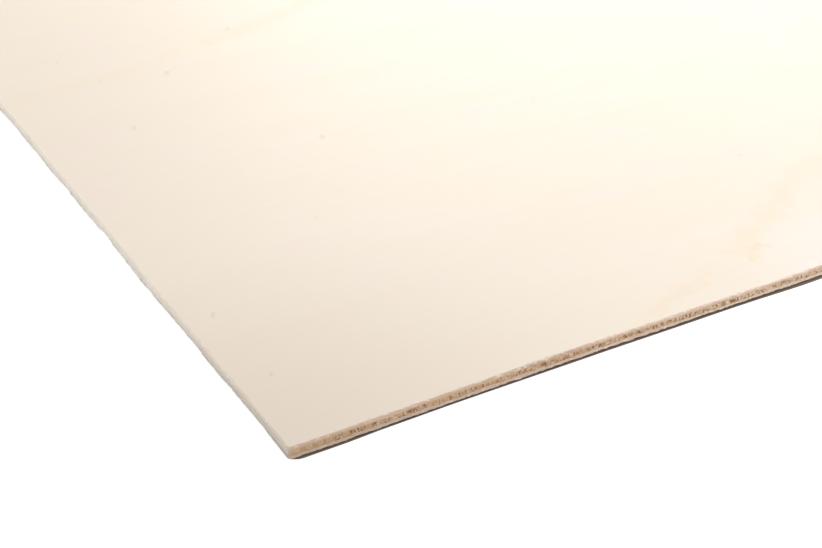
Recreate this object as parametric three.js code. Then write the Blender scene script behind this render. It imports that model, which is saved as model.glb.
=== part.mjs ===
// A sheet of three-ply plywood, lying flat on its back veneer.
// Millimetres, +Z up. X runs along the sheet's length and the grain of its two outer veneers,
// Y across it, along the grain of the core. The origin is under the middle of the sheet,
// on the surface that it lies on.

import * as THREE from 'three';

// The sheet as it is sold
const sheetLength = 1220;
const sheetWidth = 610;
const cornerRadius = 2;

// The three veneers
const faceThickness = 1.6;
const coreThickness = 2.3;
const backThickness = 1.6;

// Their edges. The outer arrises are eased by handling, and the core, which is softer,
// has worn back into a shallow hollow between the two outer veneers.
const faceArrisRadius = 0.4;
const backArrisRadius = 0.3;
const coreSetback = 0.04;
const coreHollowDepth = 0.15;

// The saw wanders along each edge as a sum of slow waves: the long edges are ripped with the
// face grain and stay smoother, the short ones are cut across it and break out in shorter waves.
// A wave's depth is from its middle line, and its phase, in degrees, is at the first corner.
const ripCutWaves = [
  { pitch: 240, depth: 0.4, phase: -90 },
  { pitch: 66, depth: 0.06, phase: 40 },
];
const crossCutWaves = [
  { pitch: 323, depth: 0.16, phase: 155 },
  { pitch: 141, depth: 0.13, phase: -89 },
  { pitch: 79, depth: 0.13, phase: -49 },
];
const farEdgeShift = 330; // how far along its waves the cut of the opposite edge has moved

// How finely the curves are divided
const ripCutStep = 12;
const crossCutStep = 5;
const cornerSegments = 6;
const arrisSegments = 2;

// How far the saw strays inwards at a distance along a cut, before the crests are set on the line
function sawStray(waves, distance) {
  let stray = 0;
  for (const { pitch, depth, phase } of waves) {
    stray += depth * Math.sin((2 * Math.PI * distance) / pitch + THREE.MathUtils.degToRad(phase));
  }
  return stray;
}

// One sawn edge, between the two corner rounds at its ends, as evenly spaced distances along it
// and how far inside the nominal line each lies. The outermost crest touches the nominal line.
function sawnEdge(edgeLength, waves, step, shift) {
  const straight = edgeLength - 2 * cornerRadius;
  const segments = Math.max(1, Math.ceil(straight / step));
  const stations = [];
  for (let i = 0; i <= segments; i += 1) {
    const distance = cornerRadius + (straight * i) / segments;
    stations.push({ distance, stray: sawStray(waves, distance + shift) });
  }
  const crest = Math.min(...stations.map((station) => station.stray));
  return stations.map(({ distance, stray }) => ({ distance, inset: stray - crest }));
}

// The outline of the sheet seen from above, anticlockwise from the front left corner.
// Each entry has a point on the outline and the direction that points straight out of the edge.
function sheetOutline() {
  const left = -sheetLength / 2;
  const right = sheetLength / 2;
  const front = -sheetWidth / 2;
  const back = sheetWidth / 2;

  const frontEdge = sawnEdge(sheetLength, ripCutWaves, ripCutStep, 0);
  const rightEdge = sawnEdge(sheetWidth, crossCutWaves, crossCutStep, farEdgeShift);
  const backEdge = sawnEdge(sheetLength, ripCutWaves, ripCutStep, farEdgeShift);
  const leftEdge = sawnEdge(sheetWidth, crossCutWaves, crossCutStep, 0);

  const along = (stations, toPoint, outward) => stations.map((station) => ({
    point: toPoint(station),
    outward,
  }));
  const frontPoints = along(frontEdge, ({ distance, inset }) =>
    new THREE.Vector2(left + distance, front + inset), new THREE.Vector2(0, -1));
  const rightPoints = along(rightEdge, ({ distance, inset }) =>
    new THREE.Vector2(right - inset, front + distance), new THREE.Vector2(1, 0));
  const backPoints = along(backEdge, ({ distance, inset }) =>
    new THREE.Vector2(left + distance, back - inset), new THREE.Vector2(0, 1)).reverse();
  const leftPoints = along(leftEdge, ({ distance, inset }) =>
    new THREE.Vector2(left + inset, front + distance), new THREE.Vector2(-1, 0)).reverse();

  return [
    ...frontPoints, ...cornerRound(frontPoints.at(-1), rightPoints[0]),
    ...rightPoints, ...cornerRound(rightPoints.at(-1), backPoints[0]),
    ...backPoints, ...cornerRound(backPoints.at(-1), leftPoints[0]),
    ...leftPoints, ...cornerRound(leftPoints.at(-1), frontPoints[0]),
  ];
}

// The inner points of the quarter round from the end of one edge to the start of the next
function cornerRound(from, to) {
  const reach = to.point.clone().sub(from.point);
  const alongFrom = to.outward.clone().multiplyScalar(reach.dot(to.outward));
  const alongTo = from.outward.clone().multiplyScalar(reach.dot(from.outward));
  const centre = from.point.clone().add(alongTo);
  const points = [];
  for (let i = 1; i < cornerSegments; i += 1) {
    const angle = (Math.PI / 2) * (i / cornerSegments);
    const point = centre.clone()
      .addScaledVector(alongFrom, Math.sin(angle))
      .addScaledVector(alongTo, -Math.cos(angle));
    const outward = from.outward.clone().multiplyScalar(Math.cos(angle))
      .addScaledVector(to.outward, Math.sin(angle));
    points.push({ point, outward });
  }
  return points;
}

// The quarter round that eases an arris, as steps of inset and height measured from the sharp corner
function easedArris(radius) {
  const steps = [];
  for (let i = 0; i <= arrisSegments; i += 1) {
    const angle = (Math.PI / 2) * (i / arrisSegments);
    steps.push({ inset: radius * (1 - Math.cos(angle)), drop: radius * (1 - Math.sin(angle)) });
  }
  return steps;
}

// A veneer: its edge section, from the bottom up, carried around the outline and closed by two
// flat faces. Each face is a fan about two points on the long middle line, a quarter of the
// length from the centre, which keeps its facets wide.
function veneerGeometry(outline, section) {
  const positions = [];
  for (const { inset, height } of section) {
    for (const { point, outward } of outline) {
      const x = point.x - outward.x * inset;
      const y = point.y - outward.y * inset;
      positions.push(x, y, height);
    }
  }

  const count = outline.length;
  const indices = [];
  for (let ring = 0; ring < section.length - 1; ring += 1) {
    for (let i = 0; i < count; i += 1) {
      const next = (i + 1) % count;
      const lower = ring * count;
      const upper = lower + count;
      indices.push(lower + i, lower + next, upper + next);
      indices.push(lower + i, upper + next, upper + i);
    }
  }

  const hubs = [-sheetLength / 4, sheetLength / 4];
  const hubOf = (i) => {
    const middle = (outline[i].point.x + outline[(i + 1) % count].point.x) / 2;
    return middle < 0 ? 0 : 1;
  };
  const closeWith = (ring, faceUp) => {
    const firstHub = positions.length / 3;
    for (const x of hubs) {
      positions.push(x, 0, section[ring].height);
    }
    const facet = (a, b, c) => indices.push(...(faceUp ? [a, b, c] : [a, c, b]));
    for (let i = 0; i < count; i += 1) {
      const hub = hubOf(i);
      const previousHub = hubOf((i + count - 1) % count);
      const start = ring * count + i;
      const end = ring * count + ((i + 1) % count);
      facet(start, end, firstHub + hub);
      if (hub !== previousHub) {
        facet(start, firstHub + hub, firstHub + previousHub);
      }
    }
  };
  closeWith(0, false);
  closeWith(section.length - 1, true);

  const geometry = new THREE.BufferGeometry();
  geometry.setAttribute('position', new THREE.Float32BufferAttribute(positions, 3));
  geometry.setIndex(indices);
  return geometry;
}

function veneerMesh(name, color, roughness, outline, section) {
  const flat = veneerGeometry(outline, section).toNonIndexed();
  flat.computeVertexNormals();
  const material = new THREE.MeshStandardMaterial({ color, roughness, metalness: 0 });
  const mesh = new THREE.Mesh(flat, material);
  mesh.name = name;
  return mesh;
}

// Heights of the two glue lines and of the top face
const backGlueLine = backThickness;
const faceGlueLine = backGlueLine + coreThickness;
const topFace = faceGlueLine + faceThickness;

// Sections of the three edges, each from the bottom up
const backSection = [
  ...easedArris(backArrisRadius).reverse().map(({ inset, drop }) => ({ inset, height: drop })),
  { inset: 0, height: backGlueLine },
];
const coreSection = [
  { inset: coreSetback, height: backGlueLine },
  { inset: coreHollowDepth, height: (backGlueLine + faceGlueLine) / 2 },
  { inset: coreSetback, height: faceGlueLine },
];
const faceSection = [
  { inset: 0, height: faceGlueLine },
  ...easedArris(faceArrisRadius).map(({ inset, drop }) => ({ inset, height: topFace - drop })),
];

const outline = sheetOutline();
const sheet = new THREE.Group();
sheet.name = 'plywood_sheet';
sheet.add(veneerMesh('back_veneer', 0xdcc6ae, 0.75, outline, backSection));
sheet.add(veneerMesh('core_veneer', 0xb08a68, 0.9, outline, coreSection));
sheet.add(veneerMesh('face_veneer', 0xf0e0cb, 0.7, outline, faceSection));

export default sheet;
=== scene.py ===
import math

import bpy
import numpy as np
from mathutils import Matrix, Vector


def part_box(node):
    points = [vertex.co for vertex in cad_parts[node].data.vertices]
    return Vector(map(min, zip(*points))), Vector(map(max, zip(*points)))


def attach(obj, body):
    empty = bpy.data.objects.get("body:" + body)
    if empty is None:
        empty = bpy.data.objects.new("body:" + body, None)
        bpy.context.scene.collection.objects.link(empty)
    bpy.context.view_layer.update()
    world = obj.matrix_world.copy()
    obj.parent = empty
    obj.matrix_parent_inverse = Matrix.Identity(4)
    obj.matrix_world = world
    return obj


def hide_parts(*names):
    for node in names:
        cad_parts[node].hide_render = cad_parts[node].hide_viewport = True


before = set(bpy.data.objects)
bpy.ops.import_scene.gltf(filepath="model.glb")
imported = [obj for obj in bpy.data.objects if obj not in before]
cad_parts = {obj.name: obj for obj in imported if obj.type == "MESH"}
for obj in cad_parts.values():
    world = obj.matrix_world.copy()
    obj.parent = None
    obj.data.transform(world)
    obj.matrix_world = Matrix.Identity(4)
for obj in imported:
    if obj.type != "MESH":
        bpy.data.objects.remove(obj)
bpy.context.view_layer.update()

mm = 0.001


def paint(code):
    # A hex colour as the linear colour that a shader socket holds.
    parts = [int(code[i:i + 2], 16) / 255 for i in (0, 2, 4)]
    linear = [p / 12.92 if p <= 0.04045 else ((p + 0.055) / 1.055) ** 2.4 for p in parts]
    return (*linear, 1.0)


def smoothRamp(values, low, high):
    # 0 below low, 1 above high, and an S-shaped rise between them.
    t = np.clip((values - low) / (high - low), 0, 1)
    return t * t * (3 - 2 * t)


def latticeNoise(along, across, pitchAlong, pitchAcross, seed, lap):
    # Random heights from -1 to 1 on a lattice, joined by S-shaped blends. It repeats after one lap.
    columns = max(3, round(lap / pitchAlong))
    u = along / lap * columns
    v = (across - across.min()) / pitchAcross
    rows = int(v.max()) + 3
    heights = np.random.default_rng(seed).uniform(-1, 1, (columns, rows))
    i, j = np.floor(u).astype(int), np.floor(v).astype(int)
    fu, fv = u - i, v - j
    fu, fv = fu * fu * (3 - 2 * fu), fv * fv * (3 - 2 * fv)
    i0, i1 = i % columns, (i + 1) % columns
    low = heights[i0, j] * (1 - fu) + heights[i1, j] * fu
    high = heights[i0, j + 1] * (1 - fu) + heights[i1, j + 1] * fu
    return low * (1 - fv) + high * fv


# The sheet as it was packed, in millimetres: its box, and the glue lines between its plies.
faceLow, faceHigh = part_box("face_veneer")
coreLow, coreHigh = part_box("core_veneer")

sheet = {
    "length": round(float(faceHigh.x - faceLow.x) / mm, 2),
    "width": round(float(faceHigh.y - faceLow.y) / mm, 2),
    "top": round(float(faceHigh.z) / mm, 3),
    "backGlue": round(float(coreLow.z) / mm, 3), "faceGlue": round(float(coreHigh.z) / mm, 3),
    "cornerRadius": 2,
    # Saw marks in plan, as pitch (mm), depth (mm) and phase (degrees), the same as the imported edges.
    "ripCut": [(240, 0.4, -90), (66, 0.06, 40)],
    "crossCut": [(323, 0.16, 155), (141, 0.13, -89), (79, 0.13, -49)],
    "farEdgeShift": 330,
    # Stations around the edge, in millimetres: how far apart they are, up to which distance along
    # a near edge, by which multiple of it they have widened, and how far apart they are then.
    "fineStep": 0.34, "fineReach": 385, "fineFade": 1.4, "coarseStep": 1.5,
    # At how many points that spacing is worked out, and how many steps a corner round has.
    "probes": 4000, "cornerSteps": 14,
}


def stations(length):
    # Distances along an edge, close together up to fineReach and then wider. The running sum of
    # one over the wanted step counts the stations, and even steps of that count give their places.
    straight = length - 2 * sheet["cornerRadius"]
    probe = np.linspace(0, straight, sheet["probes"])
    reach = sheet["fineReach"]
    growth = smoothRamp(probe, reach, reach * sheet["fineFade"])
    step = sheet["fineStep"] + (sheet["coarseStep"] - sheet["fineStep"]) * growth
    middle = (1 / step[1:] + 1 / step[:-1]) / 2
    density = np.concatenate([[0], np.cumsum(middle * np.diff(probe))])
    count = int(density[-1])
    return sheet["cornerRadius"] + np.interp(np.linspace(0, density[-1], count), density, probe)


def evenStations(length):
    # Distances along an edge in even steps from one corner round to the next.
    straight = length - 2 * sheet["cornerRadius"]
    return sheet["cornerRadius"] + np.linspace(0, straight, int(straight / sheet["coarseStep"]))


def sawInset(waves, distance, shift):
    # How far inside the nominal line the cut lies: a sum of sines, less its outermost crest.
    stray = sum(depth * np.sin(2 * np.pi * (distance + shift) / pitch + math.radians(phase))
                for pitch, depth, phase in waves)
    return stray - stray.min()


def cornerArc(start, end, outStart, outEnd):
    # Quarter round from the end of one edge to the start of the next: the sine of the angle one
    # way and the cosine the other.
    angle = (np.arange(1, sheet["cornerSteps"]) / sheet["cornerSteps"] * np.pi / 2)[:, None]
    reach = end - start
    alongStart = outEnd * (reach @ outEnd)
    alongEnd = outStart * (reach @ outStart)
    points = start + alongEnd + alongStart * np.sin(angle) - alongEnd * np.cos(angle)
    return points, outStart * np.cos(angle) + outEnd * np.sin(angle)


def sheetOutline():
    # The four saw cuts and the rounds between them, anticlockwise, with the direction out of the
    # sheet at each station and how far its edge is a cut across the face grain (0 or 1).
    halfX, halfY = sheet["length"] / 2, sheet["width"] / 2
    shift = sheet["farEdgeShift"]
    south, east, north, west = (np.array(v, float) for v in ((0, -1), (1, 0), (0, 1), (-1, 0)))

    s = stations(sheet["length"])
    front = np.stack([s - halfX, sawInset(sheet["ripCut"], s, 0) - halfY], 1)
    s = evenStations(sheet["width"])
    right = np.stack([halfX - sawInset(sheet["crossCut"], s, shift), s - halfY], 1)
    s = evenStations(sheet["length"])
    back = np.stack([s - halfX, halfY - sawInset(sheet["ripCut"], s, shift)], 1)[::-1]
    s = stations(sheet["width"])
    left = np.stack([sawInset(sheet["crossCut"], s, 0) - halfX, s - halfY], 1)[::-1]

    points, outward, crossCut = [], [], []
    edges = [(front, south, 0), (right, east, 1), (back, north, 0), (left, west, 1)]
    for k, (edge, out, cross) in enumerate(edges):
        following, nextOut, nextCross = edges[(k + 1) % 4]
        arc, arcOut = cornerArc(edge[-1], following[0], out, nextOut)
        points += [edge, arc]
        outward += [np.repeat(out[None], len(edge), 0), arcOut]
        crossCut += [np.full(len(edge), cross), np.linspace(cross, nextCross, len(arc))]
    points, outward = np.concatenate(points), np.concatenate(outward)
    leaps = np.linalg.norm(np.roll(points, -1, 0) - points, axis=1)
    run = np.concatenate([[0], np.cumsum(leaps)[:-1]])
    return {"point": points, "outward": outward, "crossCut": np.concatenate(crossCut),
            "run": run, "lap": leaps.sum()}


outline = sheetOutline()
print("outline:", len(outline["run"]), "stations around", round(outline["lap"]), "mm")


def edgeNoise(heights, pitchAlong, pitchAcross, seed):
    # Lattice noise over the edge, rows by stations.
    along = np.broadcast_to(outline["run"], heights.shape)
    return latticeNoise(along, heights, pitchAlong, pitchAcross, seed, outline["lap"])


def runNoise(pitch, seed):
    # Lattice noise that changes only along the edge.
    run = outline["run"]
    return latticeNoise(run, np.zeros_like(run), pitch, 1.0, seed, outline["lap"])


# The two glue lines around the edge, which wave a little where the veneers were pressed.
glue = {"waviness": 0.2, "pitch": 9.0, "fineWaviness": 0.15, "finePitch": 1.7}


def glueLine(height, seed):
    # The glue line's height, with a slow wave and a fine one.
    return (height + glue["waviness"] * runNoise(glue["pitch"], seed)
            + glue["fineWaviness"] * runNoise(glue["finePitch"], seed + 1))


backGlue = glueLine(sheet["backGlue"], seed=11)
faceGlue = glueLine(sheet["faceGlue"], seed=13)

# Rows that reach in under the neighbouring ply, so that no gap shows at a glue line.
tuck = {"insets": (1.8, 0.9)}

# The grid that fills the flat faces: its squares, and how far it stays from the edge.
faceGrid = {"cell": 24.0, "margin": 14.0}


def capGrid():
    # Points of a plain grid inside the sheet, its quads, and the loop of its border, anticlockwise.
    halfX = sheet["length"] / 2 - faceGrid["margin"]
    halfY = sheet["width"] / 2 - faceGrid["margin"]
    columns = round(2 * halfX / faceGrid["cell"]) + 1
    rows = round(2 * halfY / faceGrid["cell"]) + 1
    x, y = np.meshgrid(np.linspace(-halfX, halfX, columns), np.linspace(-halfY, halfY, rows))
    number = np.arange(rows * columns).reshape(rows, columns)
    corners = [number[:-1, :-1], number[:-1, 1:], number[1:, 1:], number[1:, :-1]]
    border = np.concatenate([number[0, :-1], number[:-1, -1], number[-1, :0:-1], number[:0:-1, 0]])
    return np.stack([x.ravel(), y.ravel()], 1), np.stack(corners, -1).reshape(-1, 4), border


gridPoints, gridQuads, gridBorder = capGrid()


def capTriangles(ringX, ringY, ringStart, gridStart):
    # A band of triangles from the close-set ring to the wide-set border of the grid: each ring
    # step is joined to its nearest border point, and each border step closes what is left.
    borderX, borderY = gridPoints[gridBorder].T
    nearest = np.argmin((ringX[:, None] - borderX) ** 2 + (ringY[:, None] - borderY) ** 2, axis=1)
    i = np.arange(len(ringX))
    following = (i + 1) % len(ringX)
    inner = gridStart + gridBorder
    fans = np.stack([ringStart + i, ringStart + following, inner[nearest]], 1)
    turn = nearest != nearest[following]
    ends = ringStart + following[turn]
    wedges = np.stack([ends, inner[nearest[following[turn]]], inner[nearest[turn]]], 1)
    return np.concatenate([fans, wedges])


def ringQuads(rows, count):
    # Quads between each row of stations and the next, closed around.
    i = np.arange(count)
    nextI = (i + 1) % count
    lower = (np.arange(rows - 1) * count)[:, None]
    quads = np.stack([lower + i, lower + nextI, lower + count + nextI, lower + count + i], -1)
    return quads.reshape(-1, 4)


def makeMesh(name, vertices, polygons, masks):
    # polygons is a list of arrays of vertex numbers, one array for each number of sides.
    corners = np.concatenate([p.ravel() for p in polygons])
    sides = np.concatenate([np.full(len(p), p.shape[1]) for p in polygons])
    starts = np.concatenate([[0], np.cumsum(sides)[:-1]])
    mesh = bpy.data.meshes.new(name)
    mesh.vertices.add(len(vertices))
    mesh.vertices.foreach_set("co", vertices.ravel().astype(np.float32))
    mesh.loops.add(len(corners))
    mesh.loops.foreach_set("vertex_index", corners.astype(np.int32))
    mesh.polygons.add(len(starts))
    mesh.polygons.foreach_set("loop_start", starts.astype(np.int32))
    mesh.update(calc_edges=True)
    mesh.polygons.foreach_set("use_smooth", np.ones(len(starts), bool))
    for label, values in masks.items():
        layer = mesh.attributes.new(label, "FLOAT", "POINT")
        layer.data.foreach_set("value", values.ravel().astype(np.float32))
    if mesh.validate():
        print(name, "had faults that were mended")
    piece = bpy.data.objects.new(name, mesh)
    bpy.context.scene.collection.objects.link(piece)
    print(name + ":", int((sides - 2).sum()), "triangles")
    return piece


def shellMesh(name, inset, height, masks):
    # A closed shell: each row of the section, from the bottom up, lies inset from the outline,
    # against its outward direction, at its own height. A flat gridded face closes either end.
    rows, count = inset.shape
    x = outline["point"][:, 0] - outline["outward"][:, 0] * inset
    y = outline["point"][:, 1] - outline["outward"][:, 1] * inset
    shell = np.stack([x, y, height], -1).reshape(-1, 3)
    lids = [np.column_stack([gridPoints, np.full(len(gridPoints), height[row].mean())])
            for row in (0, -1)]
    vertices = np.concatenate([shell, *lids]) * mm

    under, over = rows * count, rows * count + len(gridPoints)
    underBand = capTriangles(x[0], y[0], 0, under)
    overBand = capTriangles(x[-1], y[-1], (rows - 1) * count, over)
    quads = np.concatenate([ringQuads(rows, count), under + gridQuads[:, ::-1], over + gridQuads])
    triangles = np.concatenate([underBand[:, ::-1], overBand])
    onLids = np.zeros(2 * len(gridPoints))
    masks = {label: np.concatenate([np.broadcast_to(values, inset.shape).ravel(), onLids])
             for label, values in masks.items()}
    return makeMesh(name, vertices, [quads, triangles], masks)


outerVeneer = {
    # Rows of the section: up the wall, around the arris, and just inside it on the flat face.
    "wallRows": 5, "arrisRows": 6, "flatRows": (0.2, 0.5),
    # The arris: its radius, how much that varies and over what lengths inwards and downwards, the
    # least that is left of it, and the most that it takes up, as a share of the ply.
    "arris": 0.42, "arrisVaries": 0.2, "inPitch": 4.5, "downPitch": 5.0,
    "arrisLeast": 0.08, "arrisMost": 0.85,
    # Chips off the arris: how far in and down they reach along a rip cut and a cross cut, above
    # what noise they start, and the longer stretches that they keep to.
    "ripChip": (0.22, 0.16), "ripChipPitch": 1.9, "crossChip": (0.5, 0.4), "crossChipPitch": 3.4,
    "chipsFrom": 0.4, "stretchPitch": 31.0, "stretchRange": (-0.5, 0.4),
    # The arris is frayed: how far in, and how long the frays are, along a rip cut and a cross cut.
    "ripFray": 0.35, "ripFrayPitch": 1.2, "crossFray": 0.3, "crossFrayPitch": 2.2,
    # Pale torn fibre on the rip cuts: the width and height of its patches, and the noise it needs.
    "frayWidth": 1.3, "frayHeight": 0.9, "frayRange": (0.1, 0.8),
    # Wear at the corners, from above and from below: how far it reaches and its depth. A negative
    # depth leaves the arris sharper than it is elsewhere.
    "cornerWear": {"upper": (7.0, 0.1), "lower": (26.0, -0.24)},
    # Where the near rip cut is rubbed, from above and from below: distance from the left corner,
    # half length and depth, which is negative where the arris is sharper.
    "rubbed": [(12, 13, -0.25), (112, 20, 0.3)],
    "worn": [(50, 26, 0.24), (202, 46, 0.4), (252, 14, -0.14), (386, 60, 0.3),
             (655, 90, 0.4), (980, 70, 0.35)],
    # How deep the splintering is where the round arris starts and ends its turn to a bevel.
    "bevelRange": (0.05, 0.6),
    # Streaks along a rip cut, and torn fibre in two sizes on a cross cut.
    "streak": 0.07, "streakLength": 14.0, "streakWidth": 0.3,
    "tear": 0.16, "tearPitch": 0.9, "tearHeight": 0.5,
    "fineTear": 0.5, "fineTearPitch": 0.45, "fineTearHeight": 0.3,
    # The relief is set in by a share of its highest ridge, is calmer by a share at the sound
    # corners, stays this far inside the nominal cut, and fades over the arris by this power.
    "setIn": 0.6, "calm": 0.6, "leastInset": 0.01, "reliefFade": 2,
    # For the material: the power by which the cut's colour fades over the arris, and how much of
    # the way up the ply the arris starts.
    "edgeFade": 1.25, "arrisRise": 0.6,
}

# The saw came out through the underside of the cross cuts and left their lower arris splintered.
splintered = {
    # All along it by a little: the depth, three pitches of noise with their shares that make it
    # uneven, and the distance from a corner within which it fades out.
    "depth": 0.13, "uneven": [(17.0, 0.7), (3.0, 0.5), (1.1, 0.4)], "soundCorner": 18.0,
    # Deeper at some places: the share of their depth that is reached, and by how much and over
    # what length that varies.
    "biteLevel": 0.8, "biteVaries": 0.3, "bitePitch": 3.0,
    # The places, as distance from the near left corner, half length and depth, which is negative
    # where the arris is sharper.
    "places": [(12, 16, -0.32), (34, 8, 0.12), (55, 5, 0.2), (71, 12, -0.42), (92, 9, 0.25),
               (120, 8, -0.15), (143, 5, 0.45), (153, 8, -0.3), (204, 10, 1.3), (222, 6, 0.3),
               (266, 8, 0.8), (313, 13, 0.6), (363, 14, 0.35)],
}


def bites(along, places):
    # A parabola at each place, which is given as distance along, half length and depth.
    depth = 0 * along
    for place, half, deep in places:
        depth = depth + deep * np.maximum(1 - ((along - place) / half) ** 2, 0)
    return depth


def nearCorners(reach):
    # 1 at each corner of the sheet, falling to 0 at the reach: the way to the nearest corner.
    halves = np.array([sheet["length"], sheet["width"]]) / 2
    way = np.linalg.norm(halves - np.abs(outline["point"]), axis=1)
    return 1 - smoothRamp(way, 0, reach)


def splinterDepth(seed):
    # A base depth that noise of three pitches moves up and down, and a bite at each place.
    v = splintered
    uneven = 1
    for k, (pitch, share) in enumerate(v["uneven"]):
        uneven = uneven + share * runNoise(pitch, seed + k)
    depth = v["depth"] * np.maximum(uneven, 0) * (1 - nearCorners(v["soundCorner"]))
    along = outline["point"][:, 1] + sheet["width"] / 2
    nearCut = outline["outward"][:, 0] < -0.5
    ragged = v["biteLevel"] + v["biteVaries"] * runNoise(v["bitePitch"], seed + 3)
    return (depth + bites(along, v["places"]) * nearCut * ragged) * outline["crossCut"]


def wornDepth(places):
    # What sliding the sheet about has rubbed off an arris of the near rip cut.
    along = outline["point"][:, 0] + sheet["length"] / 2
    return bites(along, places) * (outline["outward"][:, 1] < -0.5)


def arrisShape(glueHeight, outerHeight, facing, seed):
    # How far in and how far down the arris reaches at each station, which is its radius with what
    # chips, splinters, wear and frays have taken, and how much of it is a bevel.
    v = outerVeneer
    cross = outline["crossCut"]
    chips = [smoothRamp(runNoise(v[pitch], seed + k), v["chipsFrom"], 1.0)
             for k, pitch in ((1, "ripChipPitch"), (8, "crossChipPitch"))]
    stretch = smoothRamp(runNoise(v["stretchPitch"], seed + 2), *v["stretchRange"])
    chip = (chips[0] * (1 - cross) + chips[1] * cross) * stretch
    chipIn, chipDown = (chip * (v["ripChip"][k] * (1 - cross) + v["crossChip"][k] * cross)
                        for k in (0, 1))
    splinter = splinterDepth(seed + 20) if facing < 0 else 0 * chip
    cornerReach, cornerDepth = v["cornerWear"]["lower" if facing < 0 else "upper"]
    taken = splinter + cornerDepth * nearCorners(cornerReach)
    taken = taken + wornDepth(v["worn" if facing < 0 else "rubbed"])
    fray = v["ripFray"] * runNoise(v["ripFrayPitch"], seed + 9) * (1 - cross)
    fray = fray + v["crossFray"] * runNoise(v["crossFrayPitch"], seed + 10) * cross * (facing > 0)
    varied = [v["arrisVaries"] * runNoise(v[pitch], seed + k)
              for k, pitch in ((3, "inPitch"), (4, "downPitch"))]
    radiusIn = np.maximum(v["arris"] + varied[0] + chipIn + taken + fray, v["arrisLeast"])
    radiusDown = np.maximum(v["arris"] + varied[1] + chipDown + taken + fray, v["arrisLeast"])
    radiusDown = np.minimum(radiusDown, v["arrisMost"] * np.abs(outerHeight - glueHeight))
    return radiusIn, radiusDown, smoothRamp(splinter, *v["bevelRange"])


def cutRelief(heights, overArris, seed):
    # Streaks on the rip cuts and torn fibre on the cross cuts, as lattice noise, set in from the
    # nominal cut and faded out over the arris.
    v = outerVeneer
    cross = outline["crossCut"]
    smoothCut = v["streak"] * edgeNoise(heights, v["streakLength"], v["streakWidth"], seed + 5)
    coarse = edgeNoise(heights, v["tearPitch"], v["tearHeight"], seed + 6)
    fine = edgeNoise(heights, v["fineTearPitch"], v["fineTearHeight"], seed + 7)
    tornCut = v["tear"] * (coarse + v["fineTear"] * fine)
    relief = smoothCut * (1 - cross) + tornCut * cross
    relief = relief - relief.min() * v["setIn"]
    sound = nearCorners(splintered["soundCorner"])
    relief = np.maximum(relief * (1 - v["calm"] * cross * sound), v["leastInset"])
    return relief * (1 - overArris ** v["reliefFade"])


def outerVeneerShell(name, glueHeight, outerHeight, seed):
    # The section runs from the glue line out to the arris and in over the flat face. The arris is
    # a quarter ellipse, which flattens to a straight bevel where the underside has splintered.
    v = outerVeneer
    facing = 1 if outerHeight > glueHeight.mean() else -1
    cross = outline["crossCut"]
    radiusIn, radiusDown, bevel = arrisShape(glueHeight, outerHeight, facing, seed)

    wall = np.linspace(0, 1, v["wallRows"], endpoint=False)[:, None]
    arrisStart = outerHeight - facing * radiusDown
    wallHeights = glueHeight + (arrisStart - glueHeight) * wall
    share = np.linspace(0, 1, v["arrisRows"])[:, None]
    roundIn, roundDown = 1 - np.cos(share * np.pi / 2), 1 - np.sin(share * np.pi / 2)
    arrisInset = radiusIn * (roundIn + (share - roundIn) * bevel)
    arrisHeights = outerHeight - facing * radiusDown * (roundDown + (1 - share - roundDown) * bevel)
    heights = np.concatenate([wallHeights, arrisHeights])
    overArris = np.concatenate([0 * wall, share])
    section = cutRelief(heights, overArris, seed) + np.concatenate([0 * wallHeights, arrisInset])

    flatInset = np.minimum(radiusIn + np.array(v["flatRows"])[:, None], tuck["insets"][0])
    flatHeights = np.full(flatInset.shape, float(outerHeight))
    hiddenInset = np.array(tuck["insets"])[:, None] + 0 * radiusIn
    hiddenHeights = np.stack([0 * glueHeight + glueHeight.mean(), glueHeight])
    inset = np.concatenate([hiddenInset, section, flatInset])
    height = np.concatenate([hiddenHeights, heights, flatHeights])

    # What the material reads: where the cut shows, how far up the ply, and where fibre is torn.
    hidden = np.zeros((len(hiddenInset), 1))
    blank = np.zeros((len(flatInset), 1))
    edge = np.concatenate([hidden + 1, 1 - overArris ** v["edgeFade"], blank]) + 0 * inset
    start = v["arrisRise"]
    rise = np.concatenate([hidden, wall * start, start + (1 - start) * share, blank + 1]) + 0 * inset
    frays = smoothRamp(edgeNoise(heights, v["frayWidth"], v["frayHeight"], seed + 11), *v["frayRange"])
    frays = frays * np.concatenate([wall, share * 0 + 1]) * (1 - cross)
    frayed = np.concatenate([0 * hiddenInset, frays, 0 * flatInset])
    masks = {"edge": edge, "rise": rise, "crossCut": cross, "frayed": frayed}
    # The rows of a shell run upwards, and these ran down from the glue line if it faces down.
    if facing < 0:
        inset, height = inset[::-1], height[::-1]
        masks = {label: np.broadcast_to(m, inset.shape)[::-1] for label, m in masks.items()}
    return shellMesh(name, inset, height, masks)


coreVeneer = {
    "rows": 15, "seed": 31,
    # The hollow between the glue lines: its depth, and how far the whole ply is set back.
    "hollow": 0.10, "setback": 0.05,
    # Cut fibre ends on the rip cuts: clumps and single fibres, as depth, length and height. The
    # cross cuts have a share of both.
    "clump": 0.10, "clumpPitch": 2.4, "clumpHeight": 0.9,
    "fibre": 0.12, "fibrePitch": 0.75, "fibreHeight": 0.55, "crossShare": 0.3,
    # Lathe checks, which lean along the edge by a share of their height.
    "check": 0.34, "checkPitch": 1.05, "checkHeight": 1.5, "checksFrom": 0.25, "checkLean": 0.45,
    # Torn streaks on the cross cuts.
    "streak": 0.12, "streakLength": 11.0, "streakHeight": 0.45,
    # What keeps the relief inside the ply: how far it is set in, and the least that is left.
    "setIn": 0.12, "leastInset": 0.02,
}


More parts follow.
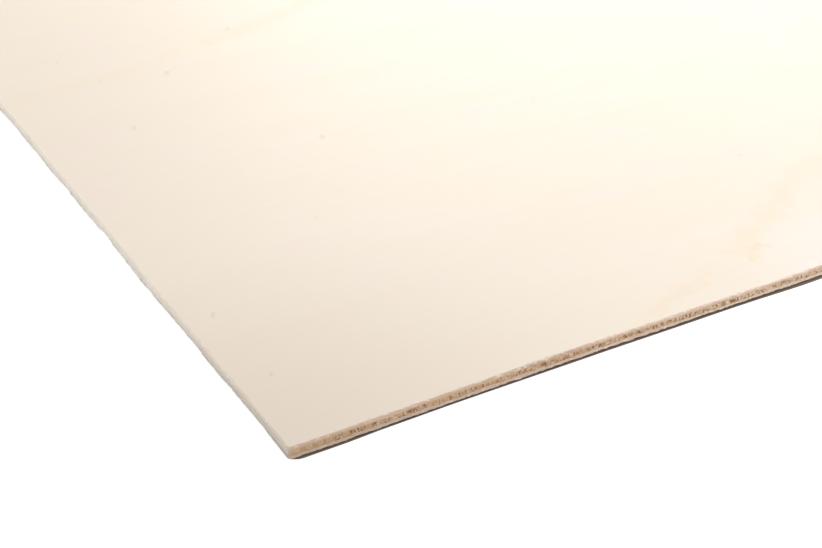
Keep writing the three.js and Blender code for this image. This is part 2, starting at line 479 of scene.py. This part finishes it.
def coreShell(name):
    # The section bows inwards as a parabola between the glue lines. On the rip cuts the cut fibre
    # ends add clumps and roughness, and lathe checks open as leaning slots. On the cross cuts the
    # ply is torn in long streaks.
    v = coreVeneer
    seed = v["seed"]
    cross = outline["crossCut"]
    t = np.linspace(0, 1, v["rows"])[:, None]
    heights = backGlue + (faceGlue - backGlue) * t
    bow = v["setback"] + v["hollow"] * 4 * t * (1 - t)
    rough = (v["clump"] * edgeNoise(heights, v["clumpPitch"], v["clumpHeight"], seed)
             + v["fibre"] * edgeNoise(heights, v["fibrePitch"], v["fibreHeight"], seed + 1))
    leaning = (outline["run"] + v["checkLean"] * heights) % outline["lap"]
    slots = latticeNoise(leaning, heights, v["checkPitch"], v["checkHeight"], seed + 2, outline["lap"])
    checks = smoothRamp(slots, v["checksFrom"], 1.0)
    streaks = v["streak"] * edgeNoise(heights, v["streakLength"], v["streakHeight"], seed + 3)
    relief = (rough + v["check"] * checks) * (1 - cross) + (streaks + v["crossShare"] * rough) * cross
    wall = np.maximum(bow + relief + v["setIn"], v["leastInset"])
    hidden = np.array(tuck["insets"])[:, None] + 0 * backGlue
    low = np.stack([0 * backGlue + sheet["backGlue"], backGlue])
    high = np.stack([faceGlue, 0 * faceGlue + sheet["faceGlue"]])
    inset = np.concatenate([hidden, wall, hidden[::-1]])
    height = np.concatenate([low, heights, high])
    slotMask = np.concatenate([0 * hidden, checks * (1 - cross), 0 * hidden])
    return shellMesh(name, inset, height, {"crossCut": cross, "slot": slotMask})


topVeneerPiece = outerVeneerShell("topVeneer", faceGlue, sheet["top"], seed=40)
crossbandPiece = coreShell("crossband")
underVeneerPiece = outerVeneerShell("underVeneer", backGlue, 0.0, seed=60)


def newNode(tree, kind, inputs=None, **settings):
    # A node with its settings made, and each input given a value or joined to a socket.
    node = tree.nodes.new(kind)
    for label, value in settings.items():
        setattr(node, label, value)
    for label, value in (inputs or {}).items():
        if isinstance(value, bpy.types.NodeSocket):
            tree.links.new(value, node.inputs[label])
        else:
            node.inputs[label].default_value = value
    return node


def mixColours(tree, factor, first, second):
    # The factor and the two colours of a Mix node are its inputs 0, 6 and 7, and the result is 2.
    inputs = {0: factor, 6: first, 7: second}
    return newNode(tree, "ShaderNodeMix", inputs, data_type="RGBA").outputs[2]


def layered(tree, colour, layers, shades):
    # Each layer is a mask and the name of the shade that it lays over what is there.
    for mask, shade in layers:
        colour = mixColours(tree, mask, colour, shades[shade])
    return colour


def ranged(tree, value, low, high, toLow=0.0, toHigh=1.0):
    # toLow below low, toHigh above high, and an S-shaped change between them.
    inputs = {0: value, 1: low, 2: high, 3: toLow, 4: toHigh}
    return newNode(tree, "ShaderNodeMapRange", inputs, interpolation_type="SMOOTHSTEP").outputs[0]


def maths(tree, operation, first, second):
    # Arithmetic on two numbers, either of which may be a socket.
    return newNode(tree, "ShaderNodeMath", {0: first, 1: second}, operation=operation).outputs[0]


def vectorMaths(tree, operation, first, second, result=0):
    # Result 0 is a vector, and result 1 a plain number.
    inputs = {0: first, 1: second}
    return newNode(tree, "ShaderNodeVectorMath", inputs, operation=operation).outputs[result]


def attribute(tree, label):
    # One of the mesh's own masks, by the name that makeMesh gave it.
    return newNode(tree, "ShaderNodeAttribute", attribute_name=label).outputs["Fac"]


def stretchedNoise(tree, vector, scale, detail, distortion):
    # Noise with its own scale for each axis, in features to a metre.
    placed = vectorMaths(tree, "MULTIPLY", vector, scale)
    inputs = {"Vector": placed, "Scale": 1.0, "Detail": detail, "Distortion": distortion}
    return newNode(tree, "ShaderNodeTexNoise", inputs).outputs["Fac"]


def speckled(tree, vector, scale, detail, limits, distortion=0.0):
    # Stretched noise as a mask: its limits are the low and high of the ranged function above, and
    # what they turn into where that isn't 0 and 1.
    return ranged(tree, stretchedNoise(tree, vector, scale, detail, distortion), *limits)


def groupTree(name, inputs, outputs):
    # A group with its named inputs, each of a kind and with a value, and its named outputs.
    tree = bpy.data.node_groups.new(name, "ShaderNodeTree")
    for label, (kind, value) in inputs.items():
        socket = tree.interface.new_socket(label, in_out="INPUT", socket_type="NodeSocket" + kind)
        if value is not None:
            socket.default_value = value
    for label in outputs:
        tree.interface.new_socket(label, in_out="OUTPUT", socket_type="NodeSocketFloat")
    given = tree.nodes.new("NodeGroupInput").outputs
    return tree, given, tree.nodes.new("NodeGroupOutput").inputs


def grouped(tree, group, inputs):
    # The outputs of a group that is given these inputs.
    return newNode(tree, "ShaderNodeGroup", inputs, node_tree=group).outputs


# Grain: the noise's detail and distortion for figure and fibres, and how much finer than the
# fibres the pores are, along and across, with the noise that they need.
grain = {
    "figure": (3.0, 0.6), "fibres": (2.0, 0.0),
    "poreAlong": 6.0, "poreAcross": 1.7, "pores": (0.64, 0.76),
}


def fibreGroup():
    # Wood seen on any cut: noise drawn out along the fibre, which is X of the vector, in three
    # sizes, as the broad figure, the fine fibres and the short dark pores.
    tree, given, out = groupTree("woodFibre", {
        "Vector": ("Vector", None), "Along": ("Float", 3.0), "Across": ("Float", 45.0),
        "Fine Along": ("Float", 40.0), "Fine Across": ("Float", 1300.0)},
        ("Figure", "Fibres", "Pores"))

    def drawnOut(along, across, detail, distortion):
        scale = newNode(tree, "ShaderNodeCombineXYZ", {0: along, 1: across, 2: across}).outputs[0]
        return stretchedNoise(tree, given["Vector"], scale, detail, distortion)

    figure = drawnOut(given["Along"], given["Across"], *grain["figure"])
    fibres = drawnOut(given["Fine Along"], given["Fine Across"], *grain["fibres"])
    poreAlong = maths(tree, "MULTIPLY", given["Fine Along"], grain["poreAlong"])
    poreAcross = maths(tree, "MULTIPLY", given["Fine Across"], grain["poreAcross"])
    pores = ranged(tree, drawnOut(poreAlong, poreAcross, 0.0, 0.0), *grain["pores"])
    for label, value in (("Figure", figure), ("Fibres", fibres), ("Pores", pores)):
        tree.links.new(value, out[label])
    return tree


# Each noise has its scale along X, Y and Z, its detail and its limits, and the border's has its
# distortion. The softness is how far the border fades either way.
lowGreyMarks = {
    "border": ((75.0, 75.0, 75.0), 3.0, (0.3, 0.7), 0.4), "softness": 0.5 * mm,
    "dashes": ((420.0, 420.0, 700.0), 2.0, (0.36, 0.6, 0.15, 1.0)),
    "smudges": ((140.0, 140.0, 260.0), 3.0, (0.45, 0.75, 0.0, 0.45)),
}


def lowGreyGroup():
    # Grey low on a cut edge: a band whose upper border wanders between Rise and Rise plus Wander,
    # broken into dashes, and faint smudges above it.
    tree, given, out = groupTree("lowGrey", {
        "Vector": ("Vector", None), "Height": ("Float", 0.0), "Amount": ("Float", 1.0),
        "Rise": ("Float", 0.3 * mm), "Wander": ("Float", 1.5 * mm)}, ("Grey",))
    border = speckled(tree, given["Vector"], *lowGreyMarks["border"])
    border = maths(tree, "MULTIPLY", border, given["Wander"])
    border = maths(tree, "ADD", border, given["Rise"])
    above = maths(tree, "SUBTRACT", given["Height"], border)
    band = ranged(tree, above, -lowGreyMarks["softness"], lowGreyMarks["softness"], 1.0, 0.0)
    band = maths(tree, "MULTIPLY", band, speckled(tree, given["Vector"], *lowGreyMarks["dashes"]))
    smudges = speckled(tree, given["Vector"], *lowGreyMarks["smudges"])
    grey = maths(tree, "MAXIMUM", band, smudges)
    tree.links.new(maths(tree, "MULTIPLY", grey, given["Amount"]), out["Grey"])
    return tree


def strokeGroup():
    # Distance to a line between two points: the way from Start, less its share along the line,
    # which is held between 0 and 1.
    tree, given, out = groupTree("strokeDistance", {
        "Vector": ("Vector", None), "Start": ("Vector", None), "End": ("Vector", None)},
        ("Distance",))
    way = vectorMaths(tree, "SUBTRACT", given["Vector"], given["Start"])
    line = vectorMaths(tree, "SUBTRACT", given["End"], given["Start"])
    along = vectorMaths(tree, "DOT_PRODUCT", way, line, 1)
    whole = vectorMaths(tree, "DOT_PRODUCT", line, line, 1)
    share = newNode(tree, "ShaderNodeMath", {0: along, 1: whole}, operation="DIVIDE", use_clamp=True)
    reached = newNode(tree, "ShaderNodeVectorMath", {0: line, "Scale": share.outputs[0]},
                      operation="SCALE")
    tree.links.new(vectorMaths(tree, "DISTANCE", way, reached.outputs[0], 1), out["Distance"])
    return tree


fibreTree = fibreGroup()
lowGreyTree = lowGreyGroup()
strokeTree = strokeGroup()


def blankMaterial(name, finish):
    # A Principled material with its uniform values set, its object coordinates, and the finish's
    # colours by name.
    material = bpy.data.materials.new(name)
    material.use_nodes = True
    tree = material.node_tree
    shader = tree.nodes["Principled BSDF"]
    shader.inputs["Roughness"].default_value = finish["roughness"]
    shader.inputs["Specular IOR Level"].default_value = finish["specular"]
    place = newNode(tree, "ShaderNodeTexCoord").outputs["Object"]
    shades = {label: paint(code) for label, code in finish["colours"].items()}
    return material, shader, place, shades


def raised(tree, shader, height, strength, distance):
    # Fine relief that shows in the light and leaves the surface where it is.
    bump = newNode(tree, "ShaderNodeBump",
                   {"Height": height, "Strength": strength, "Distance": distance})
    tree.links.new(bump.outputs[0], shader.inputs["Normal"])


# Marks on the upper face, in millimetres from its near left corner.
faceMarks = {
    # Lines of mineral stain, as points, half width and strength.
    "stains": [
        ([(163, 4), (184, 11), (206, 17)], 7.5, 0.58),
        ([(206, 17), (218, 25), (232, 27)], 8.0, 0.38),
        ([(232, 27), (246, 31), (258, 44)], 11.0, 0.62),
        ([(240, 22), (250, 29)], 7.5, 0.95),
        ([(258, 44), (270, 48), (288, 55), (306, 68)], 12.5, 0.58),
        ([(306, 68), (320, 76), (339, 84)], 12.0, 0.45),
        ([(5, 382), (35, 388), (68, 395)], 12.0, 0.16),
        ([(68, 395), (91, 401), (120, 416), (143, 420)], 14.0, 0.3),
        ([(143, 420), (176, 430), (193, 441), (240, 462)], 15.0, 0.66),
    ],
    # One noise moves a stain's border in and out, and a broader one lets the stain fade.
    "stainWander": ((190.0, 190.0, 190.0), 3.0, (0.25, 0.75, -2 * mm, 2.5 * mm)),
    "stainFading": ((80.0, 80.0, 80.0), 2.0, (0.35, 0.6, 0.5, 1.0)),
    # Paler sapwood beyond the stain, as the line that it lies along, half width and strength, and
    # the noise that moves its border.
    "sapwood": ((275, 0), (540, -25), 72.0, 0.6),
    "sapwoodDrift": ((5.0, 45.0, 45.0), 2.0, (0.3, 0.7, -18 * mm, 18 * mm)),
    # Pin knots, as a place and a radius, how strong they are, and how far each is drawn out either
    # way, in shares of its radius.
    "knots": [(100.2, 381.0, 2.5), (13.3, 101.0, 1.65), (15.2, 47.3, 1.3), (163.2, 436.4, 2.8),
              (136.5, 244.3, 2.3), (53.9, 310.5, 2.0), (136.7, 450.9, 1.1), (49.0, 435.8, 1.2),
              (61.1, 388.0, 1.2), (264.5, 230.2, 1.3), (310.1, 108.4, 1.1), (91.3, 159.8, 0.9)],
    "knotStrength": 0.19, "knotLean": (0.34, 0.85),
    # Painted shade that darkens the face towards its near left corner, and a dark smudge on the rip cut:
    # reach, strength and middle.
    "shadedCorner": (185.0, 0.64, (0, 0)), "smudge": (30.0, 0.75, (112, 0)),
}


def onFace(x, y):
    # A place on the upper face in metres, from millimetres along and across from its near left
    # corner.
    return ((x - sheet["length"] / 2) * mm, (y - sheet["width"] / 2) * mm, sheet["top"] * mm)


def strokeDistance(tree, place, start, end):
    # The distance to the line on the upper face between two places.
    inputs = {"Vector": place, "Start": onFace(*start), "End": onFace(*end)}
    return grouped(tree, strokeTree, inputs)[0]


def strongest(tree, masks):
    # The greatest of the masks at each point.
    mask = masks[0]
    for other in masks[1:]:
        mask = maths(tree, "MAXIMUM", mask, other)
    return mask


def stainMask(tree, place):
    # Each line is full at its middle and gone at its half width, and the strongest one decides.
    wander = speckled(tree, place, *faceMarks["stainWander"])
    fading = speckled(tree, place, *faceMarks["stainFading"])
    strokes = []
    for points, halfWidth, strength in faceMarks["stains"]:
        for start, end in zip(points[:-1], points[1:]):
            ragged = maths(tree, "ADD", strokeDistance(tree, place, start, end), wander)
            strokes.append(ranged(tree, ragged, 0.0, halfWidth * mm, strength, 0.0))
    return maths(tree, "MULTIPLY", strongest(tree, strokes), fading)


def sapwoodMask(tree, place):
    # Full on its line and gone at its half width, which noise drawn out along the grain moves.
    start, end, halfWidth, strength = faceMarks["sapwood"]
    drift = speckled(tree, place, *faceMarks["sapwoodDrift"])
    distance = maths(tree, "ADD", strokeDistance(tree, place, start, end), drift)
    return ranged(tree, distance, 0.0, halfWidth * mm, strength, 0.0)


def shadeAndSmudgeMask(tree, place, reach, strength, centre=(0, 0)):
    # Darker about a place, fading out with the distance from it: painted shade about the near left
    # corner, and the dark smudge on the rip cut.
    distance = vectorMaths(tree, "DISTANCE", place, onFace(*centre), 1)
    return ranged(tree, distance, 0.0, reach * mm, strength, 0.0)


def knotMask(tree, place):
    # Each knot is a short stroke, and fades to nothing at its radius from it.
    leanX, leanY = faceMarks["knotLean"]
    spots = []
    for x, y, radius in faceMarks["knots"]:
        start = (x - leanX * radius, y - leanY * radius)
        end = (x + leanX * radius, y + leanY * radius)
        distance = strokeDistance(tree, place, start, end)
        spots.append(ranged(tree, distance, 0.0, radius * mm, faceMarks["knotStrength"], 0.0))
    return strongest(tree, spots)


def heightAbove(tree, place):
    # Height above the surface that the sheet lies on, which is where Z is 0.
    return newNode(tree, "ShaderNodeSeparateXYZ", {0: place}).outputs[2]


def greyMask(tree, place):
    # The grey low on a cut edge, with the group's own band and amount.
    return grouped(tree, lowGreyTree, {"Vector": place, "Height": heightAbove(tree, place)})[0]


# The outer veneers. A noise has its scale along X, Y and Z, its detail and its limits. The other
# pairs and fours are limits alone, and a single number is a strength.
veneerLook = {
    "figure": (0.35, 0.7), "fibres": (0.3, 0.8, 0.0, 0.22), "pores": 0.35,
    "clouds": ((16.0, 34.0, 34.0), 2.0, (0.45, 0.75)),
    "threads": (0.25, 0.75),
    # Rip cuts: how they pale towards the arris, dark flecks and rosy patches.
    "paleRise": (0.1, 1.0),
    "flecks": ((900.0, 60.0, 650.0), 1.0, (0.5, 0.68, 0.0, 0.7)),
    "patches": ((75.0, 75.0, 240.0), 1.0, (0.5, 0.66, 0.0, 0.5)),
    # Cross cuts: how they warm towards the arris.
    "topRise": (0.45, 0.9, 0.0, 0.8),
    # How strongly torn fibre shows, and the bump's strength and distance.
    "torn": 0.75, "relief": (0.2, 0.05 * mm),
}


def flatColour(tree, place, wood, shades, marked):
    # The flat face, with painted shade towards its near left corner and its sapwood, stains and knots,
    # where it is the marked one.
    v = veneerLook
    figure = ranged(tree, wood["Figure"], *v["figure"])
    layers = [
        (speckled(tree, place, *v["clouds"]), "cloud"),
        (ranged(tree, wood["Fibres"], *v["fibres"]), "fibre"),
        (maths(tree, "MULTIPLY", wood["Pores"], v["pores"]), "fibre"),
    ]
    if marked:
        layers += [
            # Painted shade: the face darkens towards its near left corner.
            (shadeAndSmudgeMask(tree, place, *faceMarks["shadedCorner"]), "faceCornerShade"),
            (sapwoodMask(tree, place), "sap"),
            (stainMask(tree, place), "stain"),
            (knotMask(tree, place), "knot"),
        ]
    return layered(tree, mixColours(tree, figure, shades["pale"], shades["warm"]), layers, shades)


def ripCutColour(tree, place, threads, shades, cornerShades, marked):
    # A rip cut shows the long fibres, which pale towards the arris, under dark flecks and painted shade
    # towards the near left corner.
    v = veneerLook
    layers = [
        (ranged(tree, attribute(tree, "rise"), *v["paleRise"]), "edgePale"),
        (speckled(tree, place, *v["flecks"]), "fleckAndShade"),
        # Painted shade: the rip cut darkens towards the near left corner.
        (shadeAndSmudgeMask(tree, place, *cornerShades["rip"]), "fleckAndShade"),
        (speckled(tree, place, *v["patches"]), "rosy"),
    ]
    if marked:
        layers.append((shadeAndSmudgeMask(tree, place, *faceMarks["smudge"]), "smudge"))
    return layered(tree, mixColours(tree, threads, shades["edge"], shades["edgeDark"]), layers, shades)


def crossCutColour(tree, place, threads, shades, cornerShades):
    # A cross cut is pale fibre ends, under grey low on the cut and painted shade, darker and warmer
    # towards the near left corner.
    layers = [
        # The first, third and last layers are painted shade, darker and warmer towards the near left
        # corner.
        (shadeAndSmudgeMask(tree, place, *cornerShades["cross"]), "crossShade"),
        (greyMask(tree, place), "grey"),
        (shadeAndSmudgeMask(tree, place, *cornerShades["warm"]), "crossWarmShade"),
        (ranged(tree, attribute(tree, "rise"), *veneerLook["topRise"]), "crossTop"),
        (shadeAndSmudgeMask(tree, place, *cornerShades["corner"]), "crossShade"),
    ]
    return layered(tree, mixColours(tree, threads, shades["cross"], shades["crossDark"]), layers, shades)


def outerVeneerMaterial(name, finish):
    # The piece's masks say where the flat face gives way to the cut, which kind of cut it is, and
    # where its fibre is torn.
    material, shader, place, shades = blankMaterial(name, finish)
    tree = material.node_tree
    wood = grouped(tree, fibreTree, {"Vector": place})
    threads = ranged(tree, wood["Fibres"], *veneerLook["threads"])
    flat = flatColour(tree, place, wood, shades, finish["marked"])
    rip = ripCutColour(tree, place, threads, shades, finish["cornerShades"], finish["marked"])
    across = crossCutColour(tree, place, threads, shades, finish["cornerShades"])
    cut = mixColours(tree, attribute(tree, "crossCut"), rip, across)
    torn = maths(tree, "MULTIPLY", attribute(tree, "frayed"), veneerLook["torn"])
    cut = mixColours(tree, torn, cut, shades["torn"])
    colour = mixColours(tree, attribute(tree, "edge"), flat, cut)
    tree.links.new(colour, shader.inputs["Base Color"])
    relief = maths(tree, "SUBTRACT", wood["Fibres"], wood["Pores"])
    raised(tree, shader, relief, *veneerLook["relief"])
    return material


# Painted shade darkens the face and its cuts towards the near left corner. For the cuts: how far it
# reaches from there, in millimetres, and its strength.
faceFinish = {
    "colours": {
        "pale": "F1E4D1", "warm": "F0E2CE", "cloud": "F1E2D3", "fibre": "EADBC7",
        "sap": "F4EBE4", "stain": "F0DABC", "knot": "B29C84", "faceCornerShade": "DDCBB9",
        "edge": "CDB8A5", "edgeDark": "B8A089", "edgePale": "DCCBBA", "fleckAndShade": "C3A991",
        "rosy": "CBA593", "smudge": "A48C78", "torn": "EBDBC8",
        "cross": "EFEAE4", "crossDark": "E2DCD4", "crossShade": "BDB0A0", "grey": "C9C3BB",
        "crossWarmShade": "DBCBB4", "crossTop": "E8D9C1",
    },
    "cornerShades": {"rip": (270.0, 0.75), "cross": (110.0, 0.27), "corner": (60.0, 0.52),
              "warm": (300.0, 0.5)},
    "roughness": 0.5, "specular": 0.5, "marked": True,
}
backFinish = {
    "colours": {
        "pale": "EFE0CA", "warm": "EAD8BF", "cloud": "EDDCC8", "fibre": "DEC9AD",
        "edge": "DCCAB5", "edgeDark": "C7B29B", "edgePale": "CDB9A4", "fleckAndShade": "BA9F88",
        "rosy": "CBA996", "torn": "E6D5BF",
        "cross": "ECE5DC", "crossDark": "DBD3C8", "crossShade": "968A7C", "grey": "A39D94",
        "crossWarmShade": "C9BBA8", "crossTop": "D5CABD",
    },
    "cornerShades": {"rip": (270.0, 0.75), "cross": (200.0, 0.6), "corner": (28.0, 0.6),
              "warm": (280.0, 0.2)},
    "roughness": 0.55, "specular": 0.5, "marked": False,
}
coreFinish = {
    "colours": {
        "pale": "C6A789", "brown": "B59271", "dark": "8E6848", "bright": "D6BA9A",
        "slot": "825E42", "crushed": "CEB69E", "paleFar": "D0BCAE", "shaded": "A07E5F",
        "cross": "EDE4D8", "crossDark": "DED4C6", "crossShade": "BFB3A4", "grey": "C2BBB0",
    },
    # Painted shade on the cross cuts, darker towards the near left corner: its reach in millimetres and
    # strength.
    "cornerShades": {"cross": (150.0, 0.6)},
    "grain": {"Along": 30.0, "Across": 420.0, "Fine Along": 60.0, "Fine Across": 2100.0},
    "figure": (0.3, 0.7), "threads": (0.3, 0.7),
    # By distance from the near left corner: where the ply turns paler and greyer, and where its grain
    # opens.
    "paleFarther": (100 * mm, 220 * mm, 0.0, 0.42), "opening": (6 * mm, 28 * mm, 0.2, 1.0),
    # Dark and bright fibre ends. The dark ones' noise is also a little distorted.
    "ticks": ((1350.0, 60.0, 420.0), 1.0, (0.5, 0.64), 0.3),
    "brights": ((1050.0, 60.0, 1000.0), 1.0, (0.57, 0.7)),
    # Crushed pale under the upper glue line and shaded over the lower one: height and strength.
    "crushed": (0.9, 0.45), "shaded": (1.0, 0.15),
    "roughness": 0.85, "specular": 0.2, "relief": (0.5, 0.1 * mm),
}


def fibreEndColour(tree, place, wood, shades):
    # A rip cut goes across the core's fibre and shows its ends, its checks and its crushed border.
    v = coreFinish
    figure = ranged(tree, wood["Figure"], *v["figure"])
    fromCorner = vectorMaths(tree, "DISTANCE", place, onFace(0, 0), 1)
    opening = ranged(tree, fromCorner, *v["opening"])
    ticks = speckled(tree, place, *v["ticks"])
    brights = speckled(tree, place, *v["brights"])
    height = heightAbove(tree, place)
    upper, lower = sheet["faceGlue"], sheet["backGlue"]
    crushedReach, crushedStrength = v["crushed"]
    shadedReach, shadedStrength = v["shaded"]
    crushed = ranged(tree, height, (upper - crushedReach) * mm, upper * mm, 0.0, crushedStrength)
    shaded = ranged(tree, height, lower * mm, (lower + shadedReach) * mm, shadedStrength, 0.0)
    layers = [
        (ranged(tree, fromCorner, *v["paleFarther"]), "paleFar"),
        (maths(tree, "MULTIPLY", ticks, opening), "dark"),
        (maths(tree, "MULTIPLY", brights, opening), "bright"),
        (maths(tree, "MULTIPLY", attribute(tree, "slot"), opening), "slot"),
        (crushed, "crushed"),
        (shaded, "shaded"),
    ]
    return layered(tree, mixColours(tree, figure, shades["pale"], shades["brown"]), layers, shades)


def coreMaterial(name):
    # The fibre group draws out along X, so its vector is turned to run along the core's fibre.
    material, shader, place, shades = blankMaterial(name, coreFinish)
    tree = material.node_tree
    inputs = {"Vector": place, "Rotation": (0, 0, math.pi / 2)}
    turned = newNode(tree, "ShaderNodeMapping", inputs).outputs[0]
    wood = grouped(tree, fibreTree, {"Vector": turned, **coreFinish["grain"]})
    ends = fibreEndColour(tree, place, wood, shades)
    threads = ranged(tree, wood["Fibres"], *coreFinish["threads"])
    layers = [
        # Painted shade: the cross cuts darken towards the near left corner.
        (shadeAndSmudgeMask(tree, place, *coreFinish["cornerShades"]["cross"]), "crossShade"),
        (greyMask(tree, place), "grey"),
    ]
    sides = mixColours(tree, threads, shades["cross"], shades["crossDark"])
    sides = layered(tree, sides, layers, shades)
    colour = mixColours(tree, attribute(tree, "crossCut"), ends, sides)
    tree.links.new(colour, shader.inputs["Base Color"])
    raised(tree, shader, wood["Fibres"], *coreFinish["relief"])
    return material


faceMaterial = outerVeneerMaterial("palePoplar", faceFinish)
backMaterial = outerVeneerMaterial("paleUnderside", backFinish)
coreWood = coreMaterial("brownCrossband")

for piece, node, material in ((topVeneerPiece, "face_veneer", faceMaterial),
                              (crossbandPiece, "core_veneer", coreWood),
                              (underVeneerPiece, "back_veneer", backMaterial)):
    piece.data.materials.append(material)
    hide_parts(node)
    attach(piece, "root")
print("materials: veneers dressed")


# The floor lies just below the sheet. What looks straight at it sees it white, apart from a narrow band
# along each edge, where the contact shadow falls and the floor's darker colour is painted shadow.
studio = {
    # How far below the sheet the floor lies and how far past its edge it goes, in millimetres, its
    # colour in the open and its painted shadow colour in the shade band and under the sheet, and how
    # strongly the open floor glows.
    "gap": 0.8, "reach": 6000, "floorColour": "D7D7D7", "shadeColour": "9B8B7E", "lift": 0.75,
    # How far outside the edge the white begins: along the rip cuts, by distance from the left
    # corners, along the cross cuts, and over what width it comes in.
    "shadeRip": [(0, -1.5), (2, -0.9), (4, 0.25), (6, 0.55), (24, 0.5), (38, -0.1), (62, -0.12),
                 (100, 0.13), (130, 0.4), (210, 0.36), (225, 0.5), (250, 1.3)],
    "shadeCross": -1.8, "soft": 0.2,
    "worldLight": 0.56,
    "lamps": [
        # name, place (m), aimed at (m), size (m), power (W)
        ("overhead", (0.0, 0.23, 0.7), (-0.15, 0.13, 0), (1.4, 1.0), 4.2),
        ("farPanel", (2.5, 2.9, 1.5), (-0.2, 0.0, 0), (3.9, 1.9), 70.0),
        ("frontStrip", (0.13, -0.74, 0.05), (0.13, -0.305, 0), (1.36, 0.1), 2.9),
        ("leftFill", (-1.6, -0.07, 0.035), (-0.6, 0.0, 0), (1.0, 0.06), 4.0),
        ("rightFill", (1.6, 0.0, 0.035), (0.6, 0.0, 0), (1.0, 0.06), 2.5),
        ("backFill", (0.0, 1.3, 0.035), (0.0, 0.3, 0), (1.6, 0.06), 2.6),
    ],
}


def backdropRay(tree):
    # 1 for a ray that comes straight from the camera, or by way of a shiny or a clear surface.
    seen = newNode(tree, "ShaderNodeLightPath").outputs
    straight = maths(tree, "MAXIMUM", seen["Is Camera Ray"], seen["Is Glossy Ray"])
    return maths(tree, "MAXIMUM", straight, seen["Is Transmission Ray"])


def floorMaterial():
    # A diffuse floor, painted darker as painted shadow where it isn't open, which also glows where it
    # is open and looked at straight.
    material = bpy.data.materials.new("whitePaper")
    material.use_nodes = True
    tree = material.node_tree
    tree.nodes.clear()
    openness = attribute(tree, "open")
    seenOpen = maths(tree, "MULTIPLY", openness, backdropRay(tree))
    glow = maths(tree, "MULTIPLY", seenOpen, studio["lift"])
    # Painted shadow: where the floor isn't open, its colour is the darker shade colour.
    colour = mixColours(tree, openness, paint(studio["shadeColour"]), paint(studio["floorColour"]))
    diffuse = newNode(tree, "ShaderNodeBsdfDiffuse", {"Color": colour})
    emission = newNode(tree, "ShaderNodeEmission", {"Strength": glow})
    both = newNode(tree, "ShaderNodeAddShader", {0: diffuse.outputs[0], 1: emission.outputs[0]})
    output = newNode(tree, "ShaderNodeOutputMaterial")
    tree.links.new(both.outputs[0], output.inputs["Surface"])
    return material


def layFloor():
    # Rings that follow the sheet's outline: two close together just outside its edge, between
    # which the floor opens from painted shadow to white, and one far out. A grid fills the middle,
    # which is painted shadow too.
    cross = outline["crossCut"]
    fromCorner = outline["point"][:, 0] + sheet["length"] / 2
    alongRip = np.interp(fromCorner, *np.transpose(studio["shadeRip"]))
    outside = alongRip * (1 - cross) + studio["shadeCross"] * cross
    far = np.full(len(outside), float(studio["reach"]))
    inset = -np.stack([far, outside + studio["soft"], outside - studio["soft"]])
    rows, count = inset.shape
    flat = (outline["point"] - outline["outward"] * inset[:, :, None]).reshape(-1, 2)
    points = np.concatenate([flat, gridPoints])
    vertices = np.column_stack([points, np.zeros(len(points))]) * mm
    quads = np.concatenate([ringQuads(rows, count), rows * count + gridQuads])
    inner = flat[-count:]
    band = capTriangles(inner[:, 0], inner[:, 1], (rows - 1) * count, rows * count)
    openness = np.concatenate([np.ones(2 * count), np.zeros(count + len(gridPoints))])
    floor = makeMesh("floor", vertices, [quads, band], {"open": openness})
    floor.data.materials.append(floorMaterial())
    floor.data.shade_flat()  # its inner rings fold at the corners, which would tilt smooth normals
    floor.location.z = -studio["gap"] * mm


def lightWorld():
    # White to what looks straight at it, and the studio's plain light to everything else.
    world = bpy.data.worlds.new("studio")
    bpy.context.scene.world = world
    world.use_nodes = True
    tree = world.node_tree
    background = tree.nodes["Background"].inputs
    background["Color"].default_value = (1, 1, 1, 1)
    strength = ranged(tree, backdropRay(tree), 0.0, 1.0, studio["worldLight"], 1.0)
    tree.links.new(strength, background["Strength"])


def aimed(place, target):
    # A lamp shines along its own -Z, so it is turned up from straight down, then about Z.
    direction = np.array(target, float) - np.array(place, float)
    yaw = math.atan2(direction[0], direction[1])
    pitch = math.atan2(direction[2], math.hypot(direction[0], direction[1]))
    return (math.pi / 2 + pitch, 0, -yaw)


def hangLamps():
    # Each lamp is a panel that is turned to its target, and the camera doesn't see it.
    for name, place, target, size, power in studio["lamps"]:
        lamp = bpy.data.lights.new(name, "AREA")
        lamp.shape = "RECTANGLE"
        lamp.size, lamp.size_y = size
        lamp.energy = power
        holder = bpy.data.objects.new(name, lamp)
        holder.location = place
        holder.rotation_euler = aimed(place, target)
        holder.visible_camera = False
        bpy.context.scene.collection.objects.link(holder)


# The camera stands off the sheet's near left corner: its place from there in millimetres, its
# turn from +Y towards +X, its tilt down and its roll in degrees, and its focal length in pixels.
camera = {
    "cornerOffset": (-153.8, -364.4, 296.5), "turn": 29.47, "tilt": 29.25, "roll": -1.0,
    "focalPixels": 1350.0, "frameWidth": 822.0, "sensor": 36.0, "nearClip": 0.01,
}


def placeCamera():
    # Turned about the upright, then tilted from level, then rolled about its own line of sight.
    lens = bpy.data.cameras.new("camera")
    lens.sensor_width = camera["sensor"]
    lens.lens = camera["focalPixels"] / camera["frameWidth"] * camera["sensor"]
    lens.clip_start = camera["nearClip"]
    eye = bpy.data.objects.new("camera", lens)
    corner = (-sheet["length"] / 2, -sheet["width"] / 2, 0)
    eye.location = [(c + o) * mm for c, o in zip(corner, camera["cornerOffset"])]
    turned = Matrix.Rotation(-math.radians(camera["turn"]), 3, "Z")
    tilted = Matrix.Rotation(math.radians(90 - camera["tilt"]), 3, "X")
    rolled = Matrix.Rotation(math.radians(camera["roll"]), 3, "Z")
    eye.rotation_euler = (turned @ tilted @ rolled).to_euler()
    bpy.context.scene.collection.objects.link(eye)
    bpy.context.scene.camera = eye


layFloor()
lightWorld()
hangLamps()
placeCamera()
bpy.context.scene.view_settings.view_transform = "Standard"
print("studio: floor, world, lamps and camera set")
